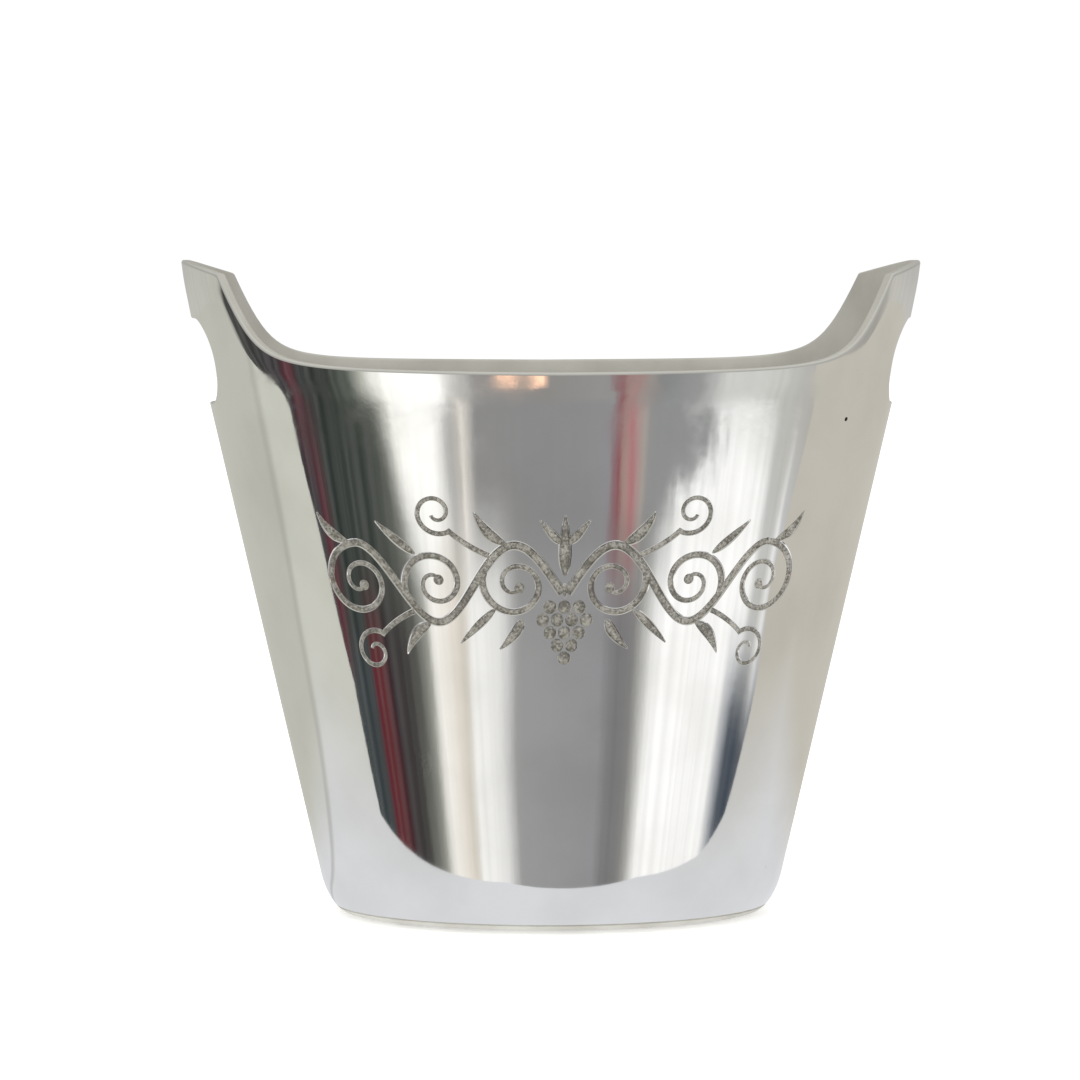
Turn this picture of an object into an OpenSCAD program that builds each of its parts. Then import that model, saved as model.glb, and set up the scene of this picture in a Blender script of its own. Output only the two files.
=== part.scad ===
// Oval ice bucket for bottles: a flared cast metal wall whose two ends rise into
// ears with hand slots, closed by a base plate that stands on four felt pads.
// Millimetres, +Z up, +X through the ears, origin under the middle of the base.

/* [Bowl] */
// Length of the oval where the straight wall would meet the ground
foot_length = 166; // [150:1:180]
// Width of the oval where the straight wall would meet the ground
foot_width = 119; // [105:1:130]
// Outward run of the two ends for each millimetre of height
end_flare = 0.23; // [0.2:0.01:0.26]
// Outward run of the front and back for each millimetre of height
side_flare = 0.175; // [0.15:0.005:0.2]
// Thickness of the cast wall
wall_t = 4; // [3:0.5:5]
// Height of the rounding round the bottom edge
corner_h = 14; // [10:1:18]
// How far the rounding draws the bottom edge in
corner_in = 6.5; // [4:0.5:9]

/* [Rim and ears] */
// Height of the low rim between the ears
rim_h = 204; // [190:1:215]
// Height of the ears at the middle of their tops
ear_h = 244; // [236:1:252]
// Outward run of an ear for each millimetre of height above the low rim
ear_flare = 0.2; // [0.14:0.01:0.26]
// Fall of an ear's top edge at its corners
ear_crown = 3; // [1:0.5:5]
// Distance from the middle at which the rim turns up into an ear
sweep_x = 111.5; // [108:0.5:115]
// Rise of the rim for each millimetre along an ear's side
sweep_slope = 2.55; // [2:0.05:3]
// Softness of the turn from the rim into an ear
sweep_soft = 11; // [8:0.5:14]

/* [Hand slots] */
// Height of a hand slot
slot_h = 31; // [26:1:34]
// Width of a hand slot
slot_w = 61; // [50:1:66]
// Height of a hand slot's middle above the ground
slot_z = 207; // [203:1:210]

/* [Base] */
// Height of the base plate's lip below the seam
lip_h = 2.6; // [2:0.1:4]
// Height of the part of the base plate that sits inside the wall
register_h = 3; // [2:0.5:5]
// Gap between the base plate and the wall round it
register_gap = 0.1; // [0.05:0.05:0.2]
// Width and height of the sealing bead in the inside corner
bead = 3; // [2:0.5:4]

/* [Pads] */
// Diameter of a felt pad
pad_d = 16; // [12:1:20]
// Thickness of a felt pad
pad_t = 2; // [1.5:0.5:3]
// How far a pad stands proud of the base plate
pad_proud = 1; // [0.5:0.25:1]

/* [Hidden] */
$fn = 96;

// Half the ear-top chord over which the crown is measured, and the arch that it gives.
crown_half = 35;
crown_r = crown_half * crown_half / (2 * ear_crown);
// Heights of the base plate's underside, the seam above its lip and its top inside the bowl.
lip_z = pad_proud;
seam_z = lip_z + lip_h;
plate_top = seam_z + register_h;
// Height and reach of the blank that the rim and ears are cut from.
blank_top = ear_h + 6;
beyond = 400;
// Number of rings round the bottom edge, step along the rim's sweep and thickness of a ring.
corner_rings = 7;
sweep_step = 5;
ring_t = 0.01;
// Places of the felt pads and the gap round each one.
pad_x = foot_length * 0.3;
pad_y = foot_width * 0.21;
pad_gap = 0.1;

// How far the bottom rounding draws the outer face in at height z.
function rounding(z) =
  let (u = max(0, 1 - (z - lip_z) / corner_h))
  corner_in * (1 - sqrt(1 - u * u));

// Half length and half width of the outer face at height z.
function outer_x(z) =
  foot_length / 2 + end_flare * min(z, rim_h) + ear_flare * max(0, z - rim_h) - rounding(z);
function outer_y(z) = foot_width / 2 + side_flare * z - rounding(z);

// Rim height over a point x along the bucket: low in the middle, steep at the ears.
function rim_z(x) =
  let (s = abs(x) - sweep_x)
  rim_h + sweep_slope / 2 * (s + sqrt(s * s + sweep_soft * sweep_soft));

// Rising heights from low to high, closer together where the bottom edge is rounder.
function rising(low, high) =
  [for (i = [0 : corner_rings]) low + (high - low) * pow(i / corner_rings, 1.5)];

// Solid oval between the first and last of the given heights, inset from the outer face.
module oval_stack(heights, inset) {
  last = len(heights) - 1;
  hull()
    for (i = [0 : last])
      translate([0, 0, heights[i] - ring_t * i / last])
        scale([outer_x(heights[i]) - inset, outer_y(heights[i]) - inset, 1])
          cylinder(r = 1, h = ring_t);
}

// Blank of the whole bucket from the seam up, inset for its hollow.
module blank(inset) {
  oval_stack(concat(rising(seam_z, lip_z + corner_h), [rim_h, blank_top]), inset);
}

// Everything above the rim's sweep, cut straight across the bucket.
module above_rim() {
  reach = sweep_step * ceil(outer_x(blank_top) / sweep_step + 1);
  sweep = [for (x = [-reach : sweep_step : reach]) [x, rim_z(x)]];
  rotate([90, 0, 0])
    linear_extrude(beyond, center = true)
      polygon(concat(sweep, [[reach, beyond], [-reach, beyond]]));
}

// One long round-ended bar that opens both hand slots.
module slot_bar() {
  end_x = (slot_w - slot_h) / 2;
  translate([0, 0, slot_z])
    rotate([0, 90, 0])
      linear_extrude(beyond, center = true) {
        translate([0, -end_x]) circle(d = slot_h);
        translate([0, end_x]) circle(d = slot_h);
        square([slot_h, 2 * end_x], center = true);
      }
}

// The barrel that gives the ears their gently arched tops.
module crown() {
  translate([0, 0, ear_h - crown_r])
    rotate([0, 90, 0])
      cylinder(r = crown_r, h = beyond, center = true);
}

// Cast wall with its two ears, open at the bottom down to the seam.
module bucket_wall() {
  color("silver")
    intersection() {
      difference() {
        blank(0);
        blank(wall_t);
        above_rim();
        slot_bar();
      }
      crown();
    }
}

// Each pad's place under the base.
module at_pads() {
  for (x = [-pad_x, pad_x])
    for (y = [-pad_y, pad_y])
      translate([x, y, 0]) children();
}

// Base plate: a rounded lip below the seam and a register inside the wall.
module base_plate() {
  color("darkgray")
    difference() {
      union() {
        oval_stack(rising(lip_z, seam_z), 0);
        oval_stack([seam_z, plate_top], wall_t + register_gap);
      }
      at_pads()
        cylinder(d = pad_d + 2 * pad_gap, h = pad_t);
    }
}

// Bead of filler that seals the base plate to the inside of the wall.
module sealing_bead() {
  color("gainsboro")
    difference() {
      oval_stack([plate_top, plate_top + bead], wall_t);
      hull() {
        bead_ring(plate_top, bead);
        bead_ring(plate_top + bead, 0);
      }
    }
}

// Opening of the bead at height z, where it stands out by width from the wall.
module bead_ring(z, width) {
  inset = wall_t + width;
  translate([0, 0, z])
    scale([outer_x(z) - inset, outer_y(z) - inset, 1])
      cylinder(r = 1, h = ring_t, center = true);
}

// Four felt pads let into the underside.
module felt_pads() {
  color("dimgray")
    at_pads()
      cylinder(d = pad_d, h = pad_t);
}

bucket_wall();
base_plate();
sealing_bead();
felt_pads();
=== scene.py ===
"""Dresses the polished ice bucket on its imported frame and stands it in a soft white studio."""

import logging
import math
from dataclasses import dataclass, field
from enum import Enum
from typing import Callable, Dict, List, Optional, Sequence, Tuple, Union

import bpy
import numpy as np
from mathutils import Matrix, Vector

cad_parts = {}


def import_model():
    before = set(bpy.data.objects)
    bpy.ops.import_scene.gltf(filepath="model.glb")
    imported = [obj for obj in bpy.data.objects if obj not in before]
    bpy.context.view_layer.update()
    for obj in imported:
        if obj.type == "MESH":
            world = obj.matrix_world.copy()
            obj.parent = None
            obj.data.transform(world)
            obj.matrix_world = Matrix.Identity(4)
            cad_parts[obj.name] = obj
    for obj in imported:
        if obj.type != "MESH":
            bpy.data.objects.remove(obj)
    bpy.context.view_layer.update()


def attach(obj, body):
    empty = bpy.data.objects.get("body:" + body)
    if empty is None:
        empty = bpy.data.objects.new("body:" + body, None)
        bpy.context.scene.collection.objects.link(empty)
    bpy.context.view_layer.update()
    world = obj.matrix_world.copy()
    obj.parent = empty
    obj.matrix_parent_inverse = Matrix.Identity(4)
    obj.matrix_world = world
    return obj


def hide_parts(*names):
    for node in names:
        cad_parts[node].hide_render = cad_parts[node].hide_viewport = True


LOG = logging.getLogger("ice_bucket")
MM = 0.001
MESH = bpy.ops.mesh
Colour = Tuple[float, float, float]
Point2 = Tuple[float, float]
Triple = Tuple[float, float, float]
Array = np.ndarray
Thing = bpy.types.Object
Material = bpy.types.Material
Value = Union["Wire", float]
Sockets = Dict[Union[str, int], object]
Stops = Sequence[Tuple[float, Colour]]


class Part(Enum):
    """The CAD nodes that finished pieces stand for."""

    WALL = "bucket_wall"
    BASE = "base_plate"
    BEAD = "sealing_bead"
    PADS = "felt_pads"


class Slot(Enum):
    """The record's material slots."""

    POLISHED = "polished_metal"
    SATIN = "satin_metal"
    FILLER = "filler_metal"
    FELT = "grey_felt"


# --- Shader maths ---


class Wire:
    """One output socket, whose arithmetic lays Math nodes in its tree."""

    def __init__(self, recipe: "Recipe", socket: bpy.types.NodeSocket) -> None:
        """Keeps the socket and the recipe that it belongs to."""
        self.recipe = recipe
        self.socket = socket

    def maths(self, operation: str, *others: Value) -> "Wire":
        """Lays one Math node that starts from this wire.

        Args:
            operation: the Math node's operation.
            others: its further inputs in order.

        Returns:
            The node's result.
        """
        return self.recipe.math(operation, self, *others)

    def __add__(self, other: Value) -> "Wire":
        """Sum."""
        return self.maths("ADD", other)

    __radd__ = __add__

    def __mul__(self, other: Value) -> "Wire":
        """Product."""
        return self.maths("MULTIPLY", other)

    __rmul__ = __mul__

    def __sub__(self, other: Value) -> "Wire":
        """Difference."""
        return self.maths("SUBTRACT", other)

    def __rsub__(self, other: float) -> "Wire":
        """Difference from a number."""
        return self.recipe.math("SUBTRACT", other, self)

    def __truediv__(self, other: Value) -> "Wire":
        """Quotient."""
        return self.maths("DIVIDE", other)

    def step(self, low: float, high: float) -> "Wire":
        """Smooth step from 0 at low to 1 at high; low may be the larger."""
        sockets = {"Value": self, "From Min": low, "From Max": high}
        return self.recipe.put("ShaderNodeMapRange", {"interpolation_type": "SMOOTHSTEP"}, sockets)


class Recipe:
    """A node tree that is filled by one node-making method."""

    def __init__(self, tree: bpy.types.NodeTree) -> None:
        """Empties the tree and keeps it."""
        tree.nodes.clear()
        self.tree = tree

    def put(
        self,
        kind: str,
        settings: Optional[Dict[str, object]] = None,
        sockets: Optional[Sockets] = None,
        output: Union[str, int] = 0,
    ) -> Wire:
        """Adds one node.

        Args:
            kind: the node's type.
            settings: properties that are set first; "stops" fills a colour ramp.
            sockets: values or wires of its inputs, by name or place.
            output: the output that is handed back, by name or place.

        Returns:
            The chosen output.
        """
        node = self.tree.nodes.new(kind)
        for name, value in (settings or {}).items():
            if name == "stops":
                self.fill_ramp(node.color_ramp, value)
            else:
                setattr(node, name, value)
        for name, value in (sockets or {}).items():
            socket = node.inputs[name]
            if isinstance(value, Wire):
                self.tree.links.new(value.socket, socket)
            elif isinstance(value, tuple) and len(value) == 3 and socket.type == "RGBA":
                socket.default_value = (*value, 1.0)
            else:
                socket.default_value = value
        return Wire(self, node.outputs[output]) if len(node.outputs) else Wire(self, None)

    def math(self, operation: str, *values: Value) -> Wire:
        """Lays one Math node over its inputs."""
        return self.put("ShaderNodeMath", {"operation": operation}, dict(enumerate(values)))

    @staticmethod
    def fill_ramp(ramp: bpy.types.ColorRamp, stops: Stops) -> None:
        """Puts colour stops on a ramp."""
        while len(ramp.elements) < len(stops):
            ramp.elements.new(1.0)
        for element, (place, colour) in zip(ramp.elements, stops):
            element.position = place
            element.color = (*colour, 1.0)

    def place(self) -> Wire:
        """Object coordinates."""
        return self.put("ShaderNodeTexCoord", output="Object")

    def stretched(self, scale: Triple) -> Wire:
        """Object coordinates, scaled."""
        return self.put("ShaderNodeMapping", {}, {"Vector": self.place(), "Scale": scale})

    def noise(self, scale: float, detail: float = 3.0, along: Triple = (1, 1, 1)) -> Wire:
        """Soft noise.

        Args:
            scale: waves per metre.
            detail: octaves.
            along: stretch of the coordinates.

        Returns:
            The noise, around 0.5.
        """
        sockets = {"Vector": self.stretched(along), "Scale": scale, "Detail": detail}
        return self.put("ShaderNodeTexNoise", {}, sockets)

    def blend(self, share: Value, first: object, second: object) -> Wire:
        """Mixes two colours by a share."""
        sockets = {0: share, 6: first, 7: second}
        return self.put("ShaderNodeMix", {"data_type": "RGBA"}, sockets, output=2)

    def axis(self, name: str) -> Wire:
        """One of the object coordinates X, Y or Z."""
        return self.put("ShaderNodeSeparateXYZ", {}, {0: self.place()}, output=name)

    def bump(self, height: Wire, depth: float, under: Optional[Wire] = None) -> Wire:
        """Turns a height into a normal.

        Args:
            height: 0 to 1.
            depth: height of 1 in metres.
            under: a normal that this one is laid over.

        Returns:
            The normal.
        """
        sockets: Sockets = {"Height": height, "Distance": depth, "Strength": 1.0}
        if under is not None:
            sockets["Normal"] = under
        return self.put("ShaderNodeBump", {}, sockets)


# --- Finishes ---


@dataclass(frozen=True)
class Finish:
    """A surface finish, made as a material with one Principled shader."""

    name: str = "finish"

    def fill(self, recipe: Recipe) -> Sockets:
        """Lays the pattern and gives the shader's sockets."""
        raise NotImplementedError

    def material(self) -> Material:
        """The finish as a material."""
        material = bpy.data.materials.new(self.name)
        material.use_nodes = True
        recipe = Recipe(material.node_tree)
        shader = recipe.put("ShaderNodeBsdfPrincipled", {}, self.fill(recipe))
        recipe.put("ShaderNodeOutputMaterial", {}, {"Surface": shader})
        return material


@dataclass(frozen=True)
class PolishedCasting(Finish):
    """Cast metal, buffed bright over a slightly wavy skin with a few pores."""

    name: str = "polished_casting"
    tint: Colour = (0.865, 0.86, 0.845)
    shade: Colour = (0.80, 0.795, 0.775)
    # near-black pore colour: painted shade in the pits, which the bump alone doesn't darken
    pore: Colour = (0.06, 0.055, 0.05)
    roughness: float = 0.032
    haze: float = 0.024
    frost: float = 0.10
    wave_depth: float = 0.00035
    dimple_depth: float = 0.00001
    buff_depth: float = 0.0000035
    frost_depth: float = 0.00002
    pore_depth: float = 0.0002
    stain_depth: float = 0.000012
    stain_at: Point2 = (-0.049, 0.0635)

    def fill(self, recipe: Recipe) -> Sockets:
        """Lays the buffed skin."""
        height = recipe.axis("Z")
        cloud = recipe.noise(28.0, 4.0)
        fine = recipe.noise(210.0, 3.0)
        below_rim = height.step(0.168, 0.199) * height.step(0.207, 0.2025)
        frost = below_rim * recipe.noise(70.0, 5.0).step(0.42, 0.66)
        cells = recipe.put("ShaderNodeTexVoronoi", {}, {"Vector": recipe.place(), "Scale": 95.0})
        pores = cells.step(0.060, 0.035) * recipe.noise(17.0, 1.0).step(0.66, 0.72)
        colour = recipe.blend(cloud.step(0.35, 0.7), self.tint, self.shade)
        rough = cloud.step(0.4, 0.75) * self.haze + frost * self.frost + self.roughness + fine * 0.02
        swell = recipe.bump(recipe.noise(13.0, 1.0, (1.0, 1.0, 0.55)), self.wave_depth)
        waves = recipe.bump(recipe.noise(75.0, 2.0), self.dimple_depth, swell)
        buffed = recipe.bump(recipe.noise(600.0, 2.0, (1.0, 1.0, 0.07)), self.buff_depth, waves)
        frosted = recipe.bump(fine * frost, self.frost_depth, buffed)
        pitted = recipe.bump(1.0 - pores, self.pore_depth, frosted)
        aside = recipe.axis("X") - self.stain_at[0]
        below = height - self.stain_at[1]
        in_front = recipe.axis("Y").step(0.0, -0.02)
        spot = (aside * aside * 3.0 + below * below).step(0.00004, 0.00001) * in_front
        stained = recipe.bump(recipe.noise(900.0, 2.0) * spot, self.stain_depth, pitted)
        return {
            # the pores are painted near-black: painted shade in the pits
            "Base Color": recipe.blend(pores, colour, self.pore),
            "Roughness": rough + pores * 0.4,
            "Metallic": 1.0,
            "Normal": stained,
        }


@dataclass(frozen=True)
class SatinCasting(Finish):
    """Cast metal, left satin after a light brushing."""

    name: str = "satin_casting"
    tint: Colour = (0.84, 0.83, 0.79)
    shade: Colour = (0.73, 0.715, 0.67)
    roughness: float = 0.33
    metallic: float = 1.0
    grain_depth: float = 0.00006

    def fill(self, recipe: Recipe) -> Sockets:
        """Lays the satin skin."""
        cloud = recipe.noise(38.0, 4.0)
        grain = recipe.noise(900.0, 2.0)
        streak_noise = recipe.noise(420.0, 2.0, (1.0, 1.0, 0.12))
        height = grain * 0.5 + streak_noise * 0.5
        return {
            "Base Color": recipe.blend(cloud.step(0.3, 0.72), self.tint, self.shade),
            "Roughness": cloud * 0.16 + grain * 0.08 + (self.roughness - 0.12),
            "Metallic": self.metallic,
            "Normal": recipe.bump(height, self.grain_depth),
        }


@dataclass(frozen=True)
class EngravedFloor(Finish):
    """The dull, mottled floor of a cast groove."""

    name: str = "engraved_floor"
    light: Colour = (0.76, 0.745, 0.69)
    dark: Colour = (0.30, 0.29, 0.255)
    roughness: float = 0.5

    def fill(self, recipe: Recipe) -> Sockets:
        """Lays the mottled floor."""
        speck = recipe.noise(1100.0, 4.0)
        patch = recipe.noise(230.0, 3.0)
        mottle = (speck * 0.6 + patch * 0.4).step(0.38, 0.62)
        return {
            "Base Color": recipe.blend(mottle, self.dark, self.light),
            "Roughness": mottle * 0.12 + self.roughness,
            "Metallic": 0.9,
            "Normal": recipe.bump(speck, 0.00035),
        }


@dataclass(frozen=True)
class CastingPore(Finish):
    """The inside of a pore left by casting, painted near-black as shade in the pit."""

    name: str = "casting_pore"
    tint: Colour = (0.05, 0.045, 0.04)

    def fill(self, recipe: Recipe) -> Sockets:
        """Lays the pit's painted shade, with a faint speckle."""
        pit_shade_speckle = recipe.noise(1500.0, 3.0)
        return {
            # the pit's inside is painted near-black: painted shade
            "Base Color": recipe.blend(pit_shade_speckle, (0.02, 0.018, 0.015), self.tint),
            "Roughness": 0.8,
            "Metallic": 0.3,
        }


@dataclass(frozen=True)
class WeldFiller(Finish):
    """Aluminium filler, laid by hand and left as it set."""

    name: str = "weld_filler"
    tint: Colour = (0.66, 0.66, 0.65)
    shade: Colour = (0.42, 0.42, 0.42)

    def fill(self, recipe: Recipe) -> Sockets:
        """Lays the filler's skin."""
        patch = recipe.noise(160.0, 4.0)
        return {
            "Base Color": recipe.blend(patch.step(0.35, 0.65), self.shade, self.tint),
            "Roughness": patch * 0.2 + 0.28,
            "Metallic": 1.0,
            "Normal": recipe.bump(patch, 0.0003),
        }


@dataclass(frozen=True)
class PressedFelt(Finish):
    """Grey pressed felt with loose fibres."""

    name: str = "pressed_felt"
    tint: Colour = (0.17, 0.17, 0.175)
    shade: Colour = (0.085, 0.085, 0.09)

    def fill(self, recipe: Recipe) -> Sockets:
        """Lays the fibres."""
        fibre = recipe.noise(2600.0, 5.0)
        tuft = recipe.noise(500.0, 3.0)
        mix = fibre * 0.6 + tuft * 0.4
        return {
            "Base Color": recipe.blend(mix.step(0.35, 0.65), self.shade, self.tint),
            "Roughness": 0.95,
            "Sheen Weight": 0.4,
            "Normal": recipe.bump(mix, 0.0005),
        }


# --- Hand tools ---


class Bench:
    """The few hand tools that every piece is made with."""

    @staticmethod
    def clear() -> None:
        """Leaves edit mode and deselects every object."""
        if bpy.context.mode != "OBJECT":
            bpy.ops.object.mode_set(mode="OBJECT")
        bpy.ops.object.select_all(action="DESELECT")

    @staticmethod
    def take(obj: Thing) -> None:
        """Makes one object the only selected and the active one."""
        Bench.clear()
        obj.select_set(True)
        bpy.context.view_layer.objects.active = obj

    @staticmethod
    def added(name: str, add: Callable[..., object], **settings: object) -> Thing:
        """Adds a primitive and names it."""
        Bench.clear()
        add(**settings)
        obj = bpy.context.object
        obj.name = name
        obj.data.name = name
        return obj

    @staticmethod
    def points(obj: Thing) -> Array:
        """The object's vertices as an N by 3 array."""
        flat = np.empty(len(obj.data.vertices) * 3)
        obj.data.vertices.foreach_get("co", flat)
        return flat.reshape(-1, 3)

    @staticmethod
    def put_points(obj: Thing, points: Array) -> None:
        """Moves the object's vertices to the given places."""
        obj.data.vertices.foreach_set("co", np.ascontiguousarray(points).ravel())
        obj.data.update()

    @staticmethod
    def edges(obj: Thing) -> Array:
        """The two vertex numbers of each edge."""
        flat = np.empty(len(obj.data.edges) * 2, dtype=np.int32)
        obj.data.edges.foreach_get("vertices", flat)
        return flat.reshape(-1, 2)

    @staticmethod
    def pick(obj: Thing, chosen: Array, kind: str) -> None:
        """Opens the object in edit mode with only the chosen elements selected.

        Args:
            obj: the mesh object.
            chosen: a mask over its vertices, edges or faces.
            kind: VERT, EDGE or FACE.
        """
        Bench.take(obj)
        bpy.ops.object.mode_set(mode="EDIT")
        MESH.select_mode(type=kind)
        MESH.select_all(action="DESELECT")
        bpy.ops.object.mode_set(mode="OBJECT")
        mesh = obj.data
        target = {"VERT": mesh.vertices, "EDGE": mesh.edges, "FACE": mesh.polygons}[kind]
        target.foreach_set("select", np.ascontiguousarray(chosen, dtype=bool))
        if kind == "EDGE":
            held = np.zeros(len(mesh.vertices), dtype=bool)
            held[Bench.edges(obj)[chosen].ravel()] = True
            mesh.vertices.foreach_set("select", held)
        bpy.ops.object.mode_set(mode="EDIT")

    @staticmethod
    def work(obj: Thing, chosen: Array, kind: str, act: Callable[..., object], **settings: object) -> None:
        """Runs one edit mode operator on the chosen elements and leaves edit mode."""
        Bench.pick(obj, chosen, kind)
        act(**settings)
        bpy.ops.object.mode_set(mode="OBJECT")

    @staticmethod
    def work_all(obj: Thing, act: Callable[..., object], **settings: object) -> None:
        """Runs one edit mode operator on the whole mesh and leaves edit mode."""
        Bench.take(obj)
        bpy.ops.object.mode_set(mode="EDIT")
        MESH.select_all(action="SELECT")
        act(**settings)
        bpy.ops.object.mode_set(mode="OBJECT")

    @staticmethod
    def face_out(obj: Thing) -> None:
        """Turns every face outwards."""
        Bench.work_all(obj, MESH.normals_make_consistent, inside=False)

    @staticmethod
    def flat_curve(name: str, **placing: object) -> Thing:
        """Adds a flat curve with no lines on it yet."""
        curve = Bench.added(name, bpy.ops.curve.primitive_nurbs_path_add, **placing)
        curve.data.dimensions = "2D"
        curve.data.splines.clear()
        return curve

    @staticmethod
    def line(curve: Thing, path: Array) -> bpy.types.Spline:
        """Draws a line of straight steps on a flat curve."""
        spline = curve.data.splines.new("POLY")
        spline.points.add(len(path) - 1)
        for point, (x, y) in zip(spline.points, path):
            point.co = (x, y, 0, 1)
        return spline

    @staticmethod
    def face_mask(obj: Thing, held: Array) -> Array:
        """Faces whose vertices are all in a vertex mask."""
        return np.array([held[list(p.vertices)].all() for p in obj.data.polygons], dtype=bool)

    @staticmethod
    def modify(obj: Thing, kind: str, **settings: object) -> None:
        """Adds a modifier, sets it and applies it."""
        Bench.take(obj)
        bpy.ops.object.modifier_add(type=kind)
        modifier = obj.modifiers[-1]
        for name, value in settings.items():
            setattr(modifier, name, value)
        bpy.ops.object.modifier_apply(modifier=modifier.name)

    @staticmethod
    def settle(obj: Thing) -> None:
        """Brings the object's place, turn and scale into its mesh."""
        Bench.take(obj)
        bpy.ops.object.transform_apply(location=True, rotation=True, scale=True)

    @staticmethod
    def joined(parts: Sequence[Thing], name: str) -> Thing:
        """Joins several objects into one."""
        Bench.take(parts[0])
        for part in parts:
            part.select_set(True)
        bpy.ops.object.join()
        parts[0].name = name
        return parts[0]

    @staticmethod
    def smooth(obj: Thing, degrees: float) -> None:
        """Shades smooth, with edges sharper than an angle kept crisp."""
        Bench.take(obj)
        bpy.ops.object.shade_smooth_by_angle(angle=math.radians(degrees))

    @staticmethod
    def drop(obj: Thing) -> None:
        """Throws away a helper object."""
        bpy.data.objects.remove(obj, do_unlink=True)


def fitted(obj: Thing, part: Part, slot: Slot) -> Thing:
    """Fits a finished piece to the frame in place of its CAD node."""
    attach(obj, "root")
    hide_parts(part.value)
    LOG.info("%s: %d faces", obj.name, len(obj.data.polygons))
    return obj


# --- The bucket's form ---


def halved(low: Array, high: Array, past: Callable[[Array], Array], rounds: int) -> Array:
    """Finds by halving where a condition turns true between two bounds."""
    for _ in range(rounds):
        mid = (low + high) / 2
        over = past(mid)
        high = np.where(over, mid, high)
        low = np.where(over, low, mid)
    return (low + high) / 2


@dataclass(frozen=True)
class BucketForm:
    """The oval, flaring form that the wall and the base share, in metres."""

    foot_length: float = 0.166
    foot_width: float = 0.119
    end_flare: float = 0.23
    side_flare: float = 0.175
    wall: float = 0.004
    corner_h: float = 0.014
    corner_in: float = 0.0065
    rim_h: float = 0.204
    ear_h: float = 0.244
    ear_flare: float = 0.2
    ear_crown: float = 0.003
    crown_half: float = 0.035
    sweep_x: float = 0.1115
    sweep_slope: float = 2.55
    sweep_soft: float = 0.011
    lip_z: float = 0.001
    seam_z: float = 0.0036
    plate_top: float = 0.0066
    pattern_z: float = 0.130
    roll_reach: float = 0.012
    roll_in: float = 0.0006

    def rounding(self, z: Array) -> Array:
        """How far the foot's rounding draws the outline in at a height."""
        u = np.clip(1 - (z - self.lip_z) / self.corner_h, 0, 1)
        return self.corner_in * (1 - np.sqrt(1 - u * u))

    def half_length(self, z: Array) -> Array:
        """Half the outline's length along X at a height."""
        lower = self.foot_length / 2 + self.end_flare * np.minimum(z, self.rim_h)
        return lower + self.ear_flare * np.maximum(0, z - self.rim_h) - self.rounding(z)

    def half_width(self, z: Array) -> Array:
        """Half the outline's width along Y at a height."""
        return self.foot_width / 2 + self.side_flare * z - self.rounding(z)

    def rim(self, x: Array) -> Array:
        """The rim's sweep up into the ears, as a height over x."""
        s = np.abs(x) - self.sweep_x
        return self.rim_h + self.sweep_slope / 2 * (s + np.sqrt(s * s + self.sweep_soft**2))

    def crown(self, y: Array) -> Array:
        """The arched top of an ear, as a height over y."""
        radius = self.crown_half**2 / (2 * self.ear_crown)
        return self.ear_h - radius + np.sqrt(radius**2 - np.minimum(np.abs(y), radius) ** 2)

    def top(self, angle: Array) -> Array:
        """Height of the wall's upper edge round the outline."""

        def past(z: Array) -> Array:
            """Whether a height lies over the edge."""
            x = self.half_length(z) * np.cos(angle)
            y = self.half_width(z) * np.sin(angle)
            return z > np.minimum(self.rim(x), self.crown(y))

        low = np.full_like(angle, self.rim_h - 0.01)
        high = np.full_like(angle, self.ear_h + 0.01)
        return halved(low, high, past, 60)

    def run(self) -> Tuple[Array, Array]:
        """Distance round the outline at the pattern's height, from the middle of the front.

        Returns:
            Distances, from minus half the girth to plus half, and their angles.
        """
        angle = np.linspace(-1.5 * math.pi, 0.5 * math.pi, 14401)
        x = self.half_length(np.array(self.pattern_z)) * np.cos(angle)
        y = self.half_width(np.array(self.pattern_z)) * np.sin(angle)
        steps = np.hypot(np.diff(x), np.diff(y))
        distance = np.concatenate([[0.0], np.cumsum(steps)])
        return distance - distance[-1] / 2, angle

    def angle_at(self, distance: Array) -> Array:
        """Angle on the outline at a distance round it."""
        distances, angles = self.run()
        return np.interp(distance, distances, angles)

    def depth(self, points: Array) -> Array:
        """How deep points of the rolled wall lie under its outer face."""
        long, wide = self.half_length(points[:, 2]), self.half_width(points[:, 2])

        def past(inset: Array) -> Array:
            """Whether a point lies outside the oval drawn in by an inset."""
            return (points[:, 0] / (long - inset)) ** 2 + (points[:, 1] / (wide - inset)) ** 2 > 1

        low, high = np.full(len(points), -self.wall), np.full(len(points), 2 * self.wall)
        angle = np.arctan2(points[:, 1] / wide, points[:, 0] / long)
        return halved(low, high, past, 40) - self.drawn_in(angle, points[:, 2])

    def drawn_in(self, angle: Array, z: Array) -> Array:
        """How far the outer face rolls inwards towards the rim."""
        near_rim = np.clip(1 - (self.top(angle) - z) / self.roll_reach, 0, 1)
        return self.roll_in * near_rim**2

    def rolled(self, flat: Array) -> Array:
        """Rolls the flat pattern up into the bucket.

        Args:
            flat: points as distance round, depth under the outer face, and height.

        Returns:
            The points on the wall.
        """
        angle = self.angle_at(flat[:, 0])
        z = flat[:, 2]
        near_face = np.clip(1 - 2 * np.maximum(flat[:, 1], 0) / self.wall, 0, 1)
        depth = flat[:, 1] + self.drawn_in(angle, z) * near_face
        x = (self.half_length(z) - depth) * np.cos(angle)
        y = (self.half_width(z) - depth) * np.sin(angle)
        return np.stack([x, y, z], axis=1)


# --- The engraved scroll ---


Leaf = Tuple[Tuple[Point2, ...], float]


@dataclass(frozen=True)
class Stroke:
    """One engraved line: its path in millimetres and half its width at each point."""

    path: Array
    half: Array


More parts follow.
